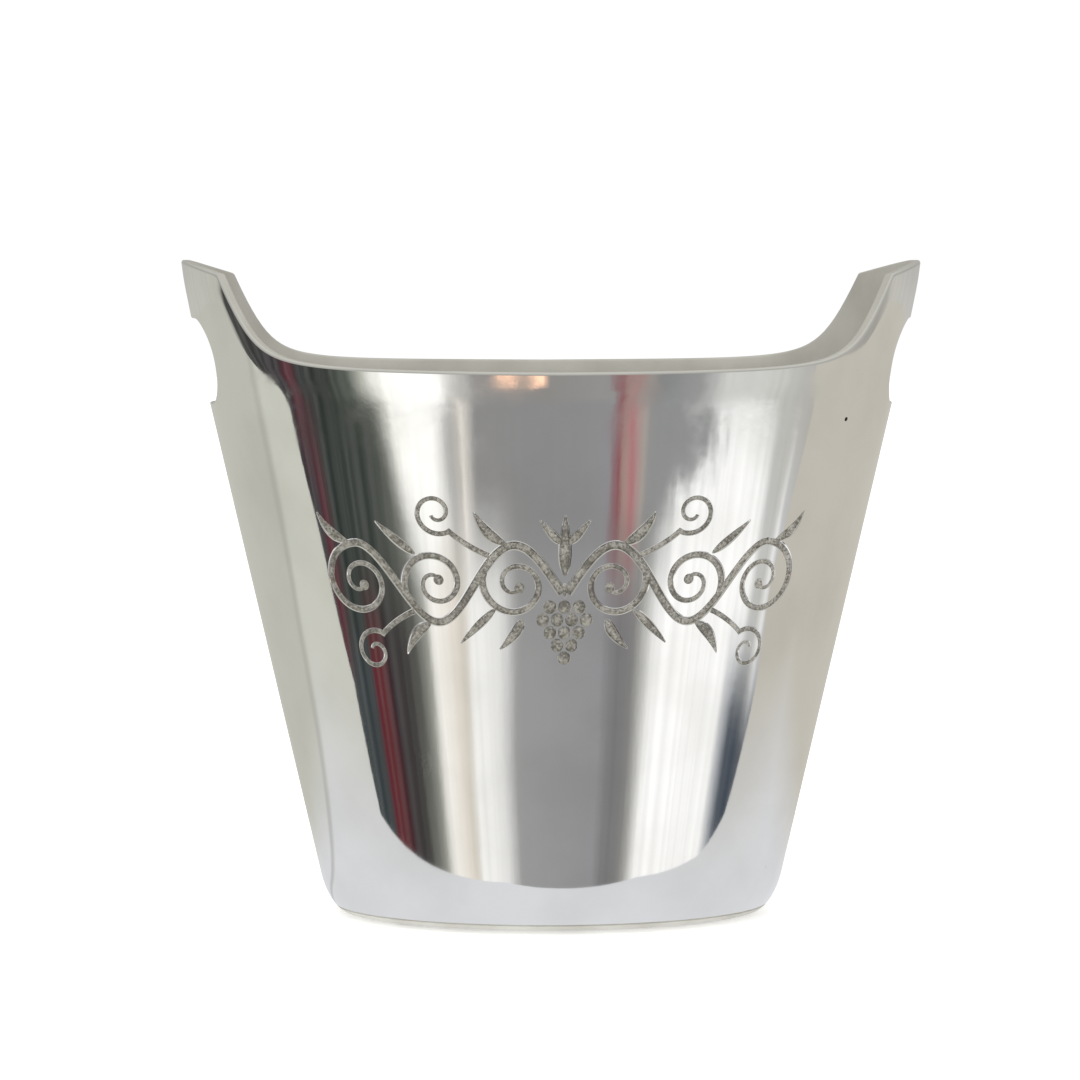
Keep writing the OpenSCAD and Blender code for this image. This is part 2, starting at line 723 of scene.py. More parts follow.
@dataclass
class VineScroll:
    """A running vine with curled tendrils, leaves and a bunch of grapes, cut into the front."""

    middle: Point2 = (1.5, 129.5)
    swing: float = 14.0
    spacing: float = 29.0
    first: float = 17.5
    curls: int = 3
    stem_half: float = 1.55
    tendril_half: float = 1.3
    tip_half: float = 0.6
    curl_reach: float = 12.2
    curl_start: float = 25.3
    curl_turns: float = 1.45
    last_turns: float = 1.62
    curl_eye: float = 1.9
    berry: float = 1.9
    stalk: Tuple[Point2, ...] = ((26.5, 10.2), (32.0, 12.4), (38.0, 16.6), (40.0, 18.8))
    whip_middle: Point2 = (44.3, 25.4)
    upright: Tuple[Leaf, ...] = (
        (((0.0, 3.0), (0.0, 12.0), (0.0, 25.0)), 2.1),
        (((0.0, 0.5), (0.0, -2.0), (0.0, -5.0)), 0.9),
    )
    leaves: Tuple[Leaf, ...] = (
        (((20.5, 14.6), (27.0, 16.5), (31.0, 26.0)), 1.9),
        (((49.5, -14.6), (56.0, -16.5), (60.0, -26.0)), 1.9),
        (((78.5, 14.4), (86.0, 15.5), (89.5, 24.5)), 1.8),
        (((15.5, -12.4), (16.5, -17.5), (24.0, -23.5)), 1.8),
        (((25.0, -9.0), (31.0, -14.0), (38.5, -21.5)), 1.5),
        (((53.0, 10.4), (59.0, 14.5), (66.5, 22.0)), 1.5),
        (((1.0, 14.5), (4.0, 17.0), (8.6, 23.0)), 1.5),
    )
    grape: float = 2.45
    grape_rows: Tuple[int, ...] = (3, 4, 3, 2, 1)
    grape_pitch: Point2 = (5.3, 4.6)
    channel: Tuple[Point2, ...] = (
        (1.32, 0.15), (1.12, -0.02), (0.96, -0.1), (0.84, -0.25), (0.74, -0.5), (0.58, -0.66), (0.28, -0.7),
    )

    def wave(self, x: Array) -> Array:
        """Height of the stem over the scroll's middle line."""
        return self.swing * np.cos(math.pi * (x - self.first) / self.spacing)

    def curl(self, index: int) -> Stroke:
        """The tendril that winds into one bay of the wave."""
        sign = 1.0 if index % 2 == 0 else -1.0
        centre = self.first + self.spacing * index
        last = index == self.curls - 1
        start = math.radians(90.0 if last else self.curl_start)
        radius = self.swing if last else self.curl_reach
        turns = self.last_turns if last else self.curl_turns
        share = np.linspace(0, 1, 96)
        angle = start - share * turns * 2 * math.pi
        reach = radius + (self.curl_eye - radius) * share
        path = np.stack([centre + reach * np.cos(angle), sign * reach * np.sin(angle)], axis=1)
        return Stroke(path, self.tendril_half + (self.tip_half - self.tendril_half) * share)

    def stem(self) -> Stroke:
        """The waving stem, out to the last curl."""
        x = np.linspace(0.9, self.first + self.spacing * (self.curls - 1), 110)
        share = (x - x[0]) / (x[-1] - x[0])
        half = self.stem_half + (self.tendril_half - self.stem_half) * share
        return Stroke(np.stack([x, self.wave(x)], axis=1), half)

    @staticmethod
    def arc(points: Sequence[Point2], count: int = 26) -> Array:
        """A smooth path through three or four control points."""
        share = np.linspace(0, 1, count)[:, None]
        ends = [np.array(p, dtype=float) for p in points]
        while len(ends) > 1:
            ends = [a * (1 - share) + b * share for a, b in zip(ends, ends[1:])]
        return ends[0]

    def leaf(self, points: Sequence[Point2], half: float) -> Stroke:
        """A leaf that swells and runs out to a point."""
        path = self.arc(points)
        share = np.linspace(0, 1, len(path))
        return Stroke(path, 0.25 + (half - 0.25) * np.sin(math.pi * share**0.8) ** 0.9)

    def whip(self, lift: float, index: int) -> Stroke:
        """A thin tendril that springs off the stem and curls over the next bay."""
        shift = self.spacing * index
        rise = self.arc([(x + shift, y) for x, y in self.stalk], 18)
        share = np.linspace(0, 1, 52)[1:]
        angle = math.radians(-123.0) + share * 1.25 * 2 * math.pi
        reach = 8.0 - 6.2 * share
        x, y = self.whip_middle
        curl = np.stack([x + shift + reach * np.cos(angle), y + reach * np.sin(angle)], axis=1)
        path = np.concatenate([rise, curl]) * np.array([1.0, lift])
        return Stroke(path, np.linspace(1.0, self.tip_half, len(path)))

    def one_side(self) -> List[Stroke]:
        """The strokes right of the middle, about the middle line."""
        curls = [self.curl(i) for i in range(self.curls)]
        leaves = [self.leaf(points, half) for points, half in self.leaves]
        return [self.stem(), *curls, self.whip(1.0, 0), self.whip(-1.0, 1), *leaves]

    def strokes(self) -> List[Stroke]:
        """All strokes, placed on the wall's flat pattern."""
        drawn = [self.leaf(points, half) for points, half in self.upright]
        for stroke in self.one_side():
            for side in (1.0, -1.0):
                drawn.append(Stroke(stroke.path * np.array([side, 1.0]), stroke.half))
        return [Stroke(s.path + np.array(self.middle), s.half) for s in drawn]

    def section(self) -> Thing:
        """The cutting tool's section, for a half width of one."""
        tool = Bench.flat_curve("graver")
        outline = [*self.channel, *[(-x, y) for x, y in reversed(self.channel)]]
        Bench.line(tool, outline).use_cyclic_u = True
        return tool

    def lines(self, tool: Thing) -> Thing:
        """Draws every stroke with the tool and makes it one mesh."""
        drawn = Bench.flat_curve("scroll_cutter", rotation=(math.pi / 2, 0, 0))
        for stroke in self.strokes():
            line = Bench.line(drawn, stroke.path * MM)
            for point, half in zip(line.points, stroke.half):
                point.radius = half * MM
        drawn.data.bevel_mode = "OBJECT"
        drawn.data.bevel_object = tool
        drawn.data.use_fill_caps = True
        Bench.take(drawn)
        bpy.ops.object.convert(target="MESH")
        Bench.settle(bpy.context.object)
        return bpy.context.object

    def dimples(self) -> List[Thing]:
        """Round cutters: the grapes, and a berry at the end of each curl."""
        spots: List[Triple] = []
        for row, count in enumerate(self.grape_rows):
            for place in range(count):
                x = (place - (count - 1) / 2) * self.grape_pitch[0]
                spots.append((x, -8.2 - row * self.grape_pitch[1], self.grape))
        for index in range(self.curls):
            end = self.curl(index).path[-1]
            spots += [(side * end[0], end[1], self.berry) for side in (1.0, -1.0)]
        cutters = []
        for x, z, radius in spots:
            place = ((x + self.middle[0]) * MM, 0, (z + self.middle[1]) * MM)
            ball = {"segments": 20, "ring_count": 12, "radius": radius * MM, "location": place}
            cutter = Bench.added("grape_cutter", MESH.primitive_uv_sphere_add, **ball)
            cutter.scale[1] = 0.55
            Bench.settle(cutter)
            cutters.append(cutter)
        return cutters

    def cutter(self, floor: Material) -> Thing:
        """The whole scroll as one cutter, lying on the flat pattern."""
        tool = self.section()
        cutter = Bench.joined([self.lines(tool), *self.dimples()], "scroll_cutter")
        Bench.drop(tool)
        cutter.data.materials.clear()
        cutter.data.materials.append(floor)
        Bench.work_all(cutter, MESH.remove_doubles, threshold=1e-7)
        Bench.face_out(cutter)
        return cutter


# --- The wall ---


@dataclass
class BucketWall:
    """The cast wall with its ears, cut from a flat pattern and rolled up."""

    form: BucketForm
    scroll: VineScroll
    columns: int = 320
    slot_z: float = 0.207
    slot_r: float = 0.0155
    slot_arm: float = 0.015
    slot_reach: float = 1.32
    rim_outer: float = 0.0012
    rim_inner: float = 0.0008
    slot_edge: float = 0.0006
    seam_edge: float = 0.0005
    lip_depth: float = 0.0003
    skin_slack: float = 0.00002
    pores: Tuple[Triple, ...] = ((103.3, 186.6, 0.8),)

    def rows(self) -> Array:
        """Shares of the wall's height at which the pattern has rows."""
        foot = np.linspace(0, 0.082, 9)
        shank = np.linspace(0.082, 0.45, 9)
        face = np.linspace(0.45, 0.94, 53)
        return np.concatenate([foot, shank[1:], face[1:], [0.951, 0.962, 0.974, 1.0]])

    def stations(self) -> Array:
        """Places of the pattern's columns, with one at each corner of the ears."""
        distances, angles = self.form.run()
        places = np.linspace(distances[0], distances[-1], self.columns + 1)
        tops = self.form.top(angles)
        x = self.form.half_length(tops) * np.cos(angles)
        y = self.form.half_width(tops) * np.sin(angles)
        swept = self.form.rim(x) < self.form.crown(y)
        for change in np.flatnonzero(swept[1:] != swept[:-1]):
            places[np.argmin(np.abs(places - distances[change]))] = distances[change]
        return places

    def stadium(self, angle: Array) -> Array:
        """Distance from a hand slot's middle to its edge in a direction."""
        across = np.abs(np.cos(angle)) * self.slot_arm
        under = np.maximum(self.slot_r**2 - (np.sin(angle) * self.slot_arm) ** 2, 0)
        flat = self.slot_r / np.maximum(np.abs(np.sin(angle)), 1e-9)
        round_end = across + np.sqrt(under)
        return np.where(np.abs(np.cos(angle)) * flat <= self.slot_arm, flat, round_end)

    def ear_scale(self) -> float:
        """Real length of one unit of pattern round the ear at the slot's height."""
        z = np.array(self.slot_z)
        return float(self.form.half_width(z) / self.form.half_width(np.array(self.form.pattern_z)))

    def pattern(self, slotted: bool) -> Thing:
        """Lays out the flat pattern, with its two hand slots left open or not."""
        rows, places = self.rows(), self.stations()
        cells = {"x_subdivisions": self.columns, "y_subdivisions": len(rows) - 1}
        sheet = Bench.added(Part.WALL.value + "_sheet", MESH.primitive_grid_add, **cells, size=1.0)
        across = len(places)
        column = np.arange(across * len(rows)) % across
        row = np.arange(across * len(rows)) // across
        tops = self.form.top(self.form.angle_at(places))
        s = places[column]
        z = self.form.seam_z + rows[row] * (tops[column] - self.form.seam_z)
        middle = self.columns // 4
        open_faces = np.zeros(len(sheet.data.polygons), dtype=bool)
        scale = self.ear_scale()
        half_columns = round((self.slot_r + self.slot_arm) / scale / (places[1] - places[0]))
        heights = self.form.seam_z + rows * (tops[middle] - self.form.seam_z)
        low = int(np.argmin(np.abs(heights - self.slot_z + self.slot_r)))
        high = int(np.argmin(np.abs(heights - self.slot_z - self.slot_r)))
        for centre in (middle, 3 * middle) if slotted else ():
            i, j = column - centre, row - (low + high) / 2
            ring = np.maximum(np.abs(i) / half_columns, np.abs(j) / ((high - low) / 2))
            p, q = (s - places[centre]) * scale, z - self.slot_z
            angle, far = np.arctan2(q, p), np.maximum(np.hypot(p, q), 1e-9)
            share = np.clip((self.slot_reach - ring) / (self.slot_reach - 1), 0, 1)
            share = share * share * (3 - 2 * share)
            pull = 1 + share * (self.stadium(angle) / (far / np.maximum(ring, 1e-9)) - 1)
            near = (ring < self.slot_reach) & (ring > 0)
            s = np.where(near, places[centre] + p * pull / scale, s)
            z = np.where(near, self.slot_z + q * pull, z)
            inside = ring < 1 + 1e-6
            open_faces |= Bench.face_mask(sheet, inside)
        Bench.put_points(sheet, np.stack([s, np.zeros_like(s), z], axis=1))
        if slotted:
            Bench.work(sheet, open_faces, "FACE", MESH.delete, type="FACE")
        return sheet

    def on_slot(self, points: Array) -> Array:
        """Which points of the pattern lie on a hand slot's outline."""
        girth = self.form.run()[0][-1]
        scale = self.ear_scale()
        found = np.zeros(len(points), dtype=bool)
        for side in (-1, 1):
            p = (points[:, 0] - side * girth / 2) * scale
            q = points[:, 2] - self.slot_z
            edge = self.stadium(np.arctan2(q, p))
            found |= np.abs(np.hypot(p, q) - edge) < 3e-5
        return found

    @staticmethod
    def soften(
        sheet: Thing, found: Callable[[Array], Array], depth: float, width: float, steps: int
    ) -> None:
        """Rounds a loop of edges.

        Args:
            sheet: the thick pattern.
            found: picks the loop's points.
            depth: the face the loop lies on.
            width: the rounding's size.
            steps: faces across the rounding.
        """
        points = Bench.points(sheet)
        held = found(points) & (np.abs(points[:, 1] - depth) < 1e-6)
        rounding = {"offset": width, "segments": steps, "profile": 0.5, "clamp_overlap": False}
        loop = held[Bench.edges(sheet)].all(axis=1)
        Bench.work(sheet, loop, "EDGE", MESH.bevel, affect="EDGES", **rounding)

    def thicken(self, sheet: Thing) -> None:
        """Gives the pattern the wall's thickness and rounds its edges."""
        Bench.modify(sheet, "SOLIDIFY", thickness=self.form.wall, offset=-1.0, use_even_offset=True)
        points = Bench.points(sheet)
        if points[:, 1].min() < -1e-6:
            points[:, 1] = -points[:, 1]
            Bench.put_points(sheet, points)
            Bench.face_out(sheet)
        wall = self.form.wall
        self.soften(sheet, self.on_rim, 0.0, self.rim_outer, 6)
        self.soften(sheet, self.on_rim, wall, self.rim_inner, 3)
        self.soften(sheet, self.on_slot, 0.0, self.slot_edge, 4)
        self.soften(sheet, self.on_slot, wall, self.slot_edge, 4)
        self.soften(sheet, lambda p: p[:, 2] < self.form.seam_z + 1e-6, 0.0, self.seam_edge, 2)
        self.split_round_slots(sheet)

    def split_round_slots(self, sheet: Thing) -> None:
        """Splits the faces round the hand slots into triangles, which stay true when rolled."""
        ear = self.form.run()[0][-1] / 2
        reach = (self.slot_arm + self.slot_r) * 1.4
        centres = np.array([face.center for face in sheet.data.polygons])
        beside = np.abs(np.abs(centres[:, 0]) - ear) < reach
        level = np.abs(centres[:, 2] - self.slot_z) < self.slot_r * 1.5
        split = {"quad_method": "BEAUTY", "ngon_method": "BEAUTY"}
        Bench.work(sheet, beside & level, "FACE", MESH.quads_convert_to_tris, **split)

    def on_rim(self, points: Array) -> Array:
        """Which points of the pattern lie on its upper edge."""
        return np.abs(points[:, 2] - self.form.top(self.form.angle_at(points[:, 0]))) < 1e-6

    def engrave(self, wall: Thing, floor: Material, pore: Material) -> None:
        """Cuts the scroll and the few casting pores into the rolled wall."""
        parts = [self.scroll.cutter(floor)]
        for x, z, radius in self.pores:
            ball = {"subdivisions": 2, "radius": radius * MM, "location": (x * MM, 0, z * MM)}
            parts.append(Bench.added("pore_cutter", MESH.primitive_ico_sphere_add, **ball))
            Bench.settle(parts[-1])
            parts[-1].data.materials.append(pore)
        cutter = Bench.joined(parts, "face_cutter")
        Bench.put_points(cutter, self.form.rolled(Bench.points(cutter)))
        exact = {"operation": "DIFFERENCE", "solver": "EXACT", "use_self": True}
        Bench.modify(wall, "BOOLEAN", **exact, material_mode="TRANSFER", object=cutter)
        Bench.drop(cutter)

    def sort_finishes(self, sheet: Thing) -> None:
        """Gives each face of the thick flat pattern its finish: 0 polished or 1 satin."""
        depth, facing = self.face_facts(sheet)
        satin = (depth > self.rim_outer * 0.9) | (facing > 0.5)
        sheet.data.polygons.foreach_set("material_index", satin.astype(np.int32))

    @staticmethod
    def face_facts(sheet: Thing) -> Tuple[Array, Array]:
        """Each face's depth in the flat pattern, and how far it faces inwards."""
        count = len(sheet.data.polygons)
        centres, normals = np.empty(count * 3), np.empty(count * 3)
        sheet.data.polygons.foreach_get("center", centres)
        sheet.data.polygons.foreach_get("normal", normals)
        return centres.reshape(-1, 3)[:, 1], normals.reshape(-1, 3)[:, 1]

    def polish_lips(self, wall: Thing) -> None:
        """Polishes the grooves' chamfered lips, and marks the outer face's points as skin."""
        depth = self.form.depth(Bench.points(wall))
        for face in wall.data.polygons:
            if face.material_index == 2 and depth[list(face.vertices)].mean() < self.lip_depth:
                face.material_index = 0
        skin = np.flatnonzero(np.abs(depth) < self.skin_slack)
        wall.vertex_groups.new(name="skin").add([int(i) for i in skin], 1.0, "REPLACE")

    def roll(self, sheet: Thing) -> None:
        """Rolls the pattern up and closes its seam at the back."""
        half_girth = self.form.run()[0][-1]
        ends = np.abs(Bench.points(sheet)[:, 0]) > half_girth - 1e-6
        caps = Bench.face_mask(sheet, ends)
        Bench.work(sheet, caps, "FACE", MESH.delete, type="ONLY_FACE")
        points = Bench.points(sheet)
        ends = np.abs(points[:, 0]) > half_girth - 1e-6
        Bench.put_points(sheet, self.form.rolled(points))
        Bench.work(sheet, ends, "VERT", MESH.remove_doubles, threshold=1e-5)

    def build(
        self,
        skin: Material,
        inside: Material,
        floor: Material,
        pore: Material,
    ) -> Thing:
        """Makes the wall.

        Args:
            skin: the outer face's finish.
            inside: the inner face's finish.
            floor: the engraved grooves' finish.
            pore: the casting pores' material, painted near-black as shade.

        Returns:
            The finished piece.
        """
        guide = self.pattern(False)
        guide.name = "skin_guide"
        self.roll(guide)
        Bench.smooth(guide, 80.0)
        sheet = self.pattern(True)
        for finish in (skin, inside, floor, pore):
            sheet.data.materials.append(finish)
        self.thicken(sheet)
        self.sort_finishes(sheet)
        self.roll(sheet)
        self.engrave(sheet, floor, pore)
        self.polish_lips(sheet)
        Bench.smooth(sheet, 32.0)
        Bench.modify(
            sheet,
            "DATA_TRANSFER",
            object=guide,
            use_loop_data=True,
            data_types_loops={"CUSTOM_NORMAL"},
            loop_mapping="POLYINTERP_NEAREST",
            vertex_group="skin",
        )
        Bench.drop(guide)
        sheet.name = "rolled_wall"
        return fitted(sheet, Part.WALL, Slot.POLISHED)


# --- Base, bead and pads ---


@dataclass
class OvalWork:
    """Pieces that are drawn up ring by ring on the bucket's oval."""

    form: BucketForm
    points: int = 256
    fill_inset: float = 0.004

    def draw_up(self, name: str, rings: Sequence[Triple]) -> Thing:
        """Draws an open oval skin up through rings.

        Args:
            name: the piece's name.
            rings: half length, half width and height of each ring.

        Returns:
            The skin.
        """
        length, width, height = rings[0]
        circle = {"vertices": self.points, "radius": 1.0, "location": (0, 0, height)}
        piece = Bench.added(name, MESH.primitive_circle_add, **circle)
        piece.scale = (length, width, 1.0)
        Bench.settle(piece)
        Bench.pick(piece, np.ones(self.points, dtype=bool), "EDGE")
        for before, after in zip(rings, rings[1:]):
            MESH.extrude_edges_move()
            bpy.ops.transform.translate(value=(0, 0, after[2] - before[2]))
            grow = (after[0] / before[0], after[1] / before[1], 1.0)
            bpy.ops.transform.resize(value=grow, center_override=(0, 0, after[2]))
        bpy.ops.object.mode_set(mode="OBJECT")
        return piece

    def outline(self, z: float, inset: float = 0.0) -> Triple:
        """The bucket's outer oval at a height, drawn in by an inset."""
        height = np.array(z)
        return float(self.form.half_length(height)) - inset, float(self.form.half_width(height)) - inset, z

    def close(self, piece: Thing, heights: Sequence[float]) -> None:
        """Fills the open ends of a skin, which lie at the given heights."""
        for height in heights:
            level = np.abs(Bench.points(piece)[:, 2] - height) < 1e-7
            Bench.pick(piece, level[Bench.edges(piece)].all(axis=1), "EDGE")
            MESH.edge_face_add()
            MESH.inset(thickness=self.fill_inset)
            bpy.ops.object.mode_set(mode="OBJECT")


@dataclass
class BasePlate(OvalWork):
    """The plate that closes the bucket, with a lip below the wall."""

    groove: float = 0.0006
    register_gap: float = 0.0001
    pocket_r: float = 0.0081
    pocket_top: float = 0.002
    overshoot: float = 0.002
    chamfer: float = 0.0006
    under_edge: float = 0.0005
    lip_rises: Tuple[float, ...] = (0.0001, 0.0004, 0.0008, 0.0013, 0.0018, 0.0022)

    def build(self, finish: Material, places: Sequence[Point2]) -> Thing:
        """Makes the plate.

        Args:
            finish: its metal.
            places: middles of the pads that sit in its underside.

        Returns:
            The finished piece.
        """
        form = self.form
        foot = form.lip_z
        shoulder = form.wall + self.register_gap
        rings = [
            self.outline(foot, self.fill_inset),
            self.outline(foot, self.under_edge),
            *[self.outline(foot + rise) for rise in self.lip_rises],
            self.outline(form.seam_z, self.groove),
            self.outline(form.seam_z, shoulder),
            self.outline(form.plate_top - self.chamfer, shoulder),
            self.outline(form.plate_top, shoulder + self.chamfer),
        ]
        plate = self.draw_up("base_plate_piece", rings)
        self.close(plate, (foot, form.plate_top))
        Bench.face_out(plate)
        for x, y in places:
            depth = self.pocket_top + self.overshoot
            disc = {"radius": self.pocket_r, "depth": depth, "location": (x, y, self.pocket_top - depth / 2)}
            cutter = Bench.added("pocket_cutter", MESH.primitive_cylinder_add, vertices=48, **disc)
            Bench.settle(cutter)
            Bench.modify(plate, "BOOLEAN", operation="DIFFERENCE", solver="EXACT", object=cutter)
            Bench.drop(cutter)
        plate.data.materials.clear()
        plate.data.materials.append(finish)
        Bench.smooth(plate, 35.0)
        return fitted(plate, Part.BASE, Slot.SATIN)


@dataclass
class SealingBead(OvalWork):
    """The filler run by hand into the corner between the wall and the plate."""

    reach: float = 0.003
    ripple: float = 0.00022
    ripples: int = 150
    clearance: float = 0.00002
    fullness: float = 0.97

    def build(self, finish: Material) -> Thing:
        """Makes the bead."""
        form = self.form
        foot = form.plate_top + self.clearance
        rings = []
        for share in np.linspace(0, 1, 9):
            turn = share * math.pi / 2
            inset = form.wall + self.reach * (1 - math.cos(turn)) * self.fullness + self.clearance
            lift = self.reach * (1 - math.sin(turn)) * self.fullness
            rings.append(self.outline(foot + lift, inset))
        rings.append(self.outline(foot, form.wall + self.clearance))
        bead = self.draw_up("sealing_bead_piece", [*rings, rings[0]])
        points = Bench.points(bead)
        angle = np.arctan2(points[:, 1] / form.foot_width, points[:, 0] / form.foot_length)
        height = (points[:, 2] - form.plate_top) / self.reach
        rise = np.clip(height, 0, 1) * np.clip(1 - height, 0, 1) * 4
        wobble = np.sin(angle * self.ripples + 0.6 * np.sin(angle * 11)) * self.ripple * rise
        inward = (wobble + self.ripple * rise) / np.hypot(points[:, 0], points[:, 1])
        points[:, :2] *= 1 - inward[:, None]
        Bench.put_points(bead, points)
        every = np.ones(len(points), dtype=bool)
        Bench.work(bead, every, "VERT", MESH.remove_doubles, threshold=1e-6)
        Bench.face_out(bead)
        bead.data.materials.append(finish)
        Bench.smooth(bead, 60.0)
        return fitted(bead, Part.BEAD, Slot.FILLER)


@dataclass
class FeltPads:
    """Four felt discs let into the base's underside."""

    radius: float = 0.00785
    height: float = 0.00195
    at_x: float = 0.0498
    at_y: float = 0.02499
    edge: float = 0.0003

    def places(self) -> List[Point2]:
        """Middles of the four pads."""
        return [(x, y) for x in (-self.at_x, self.at_x) for y in (-self.at_y, self.at_y)]

    def build(self, finish: Material) -> Thing:
        """Makes the pads."""
        disc = {"radius": self.radius, "depth": self.height, "location": (0, 0, self.height / 2)}
        pad = Bench.added("felt_pad_set", MESH.primitive_cylinder_add, vertices=48, **disc)
        Bench.settle(pad)
        ends = np.array([abs(p.normal[2]) > 0.9 for p in pad.data.polygons])
        Bench.work(pad, ends, "FACE", MESH.bevel, offset=self.edge, segments=3, affect="EDGES")
        discs = [pad]
        for _ in self.places()[1:]:
            Bench.take(pad)
            bpy.ops.object.duplicate()
            discs.append(bpy.context.object)
        for disc, (x, y) in zip(discs, self.places()):
            Bench.put_points(disc, Bench.points(disc) + np.array([x, y, 0.0]))
        pads = Bench.joined(discs, "felt_pad_set")
        pads.data.materials.append(finish)
        Bench.smooth(pads, 40.0)
        return fitted(pads, Part.PADS, Slot.FELT)


# --- Studio ---

WHITE: Colour = (1.0, 1.0, 1.0)
PALE: Colour = (0.62, 0.61, 0.58)


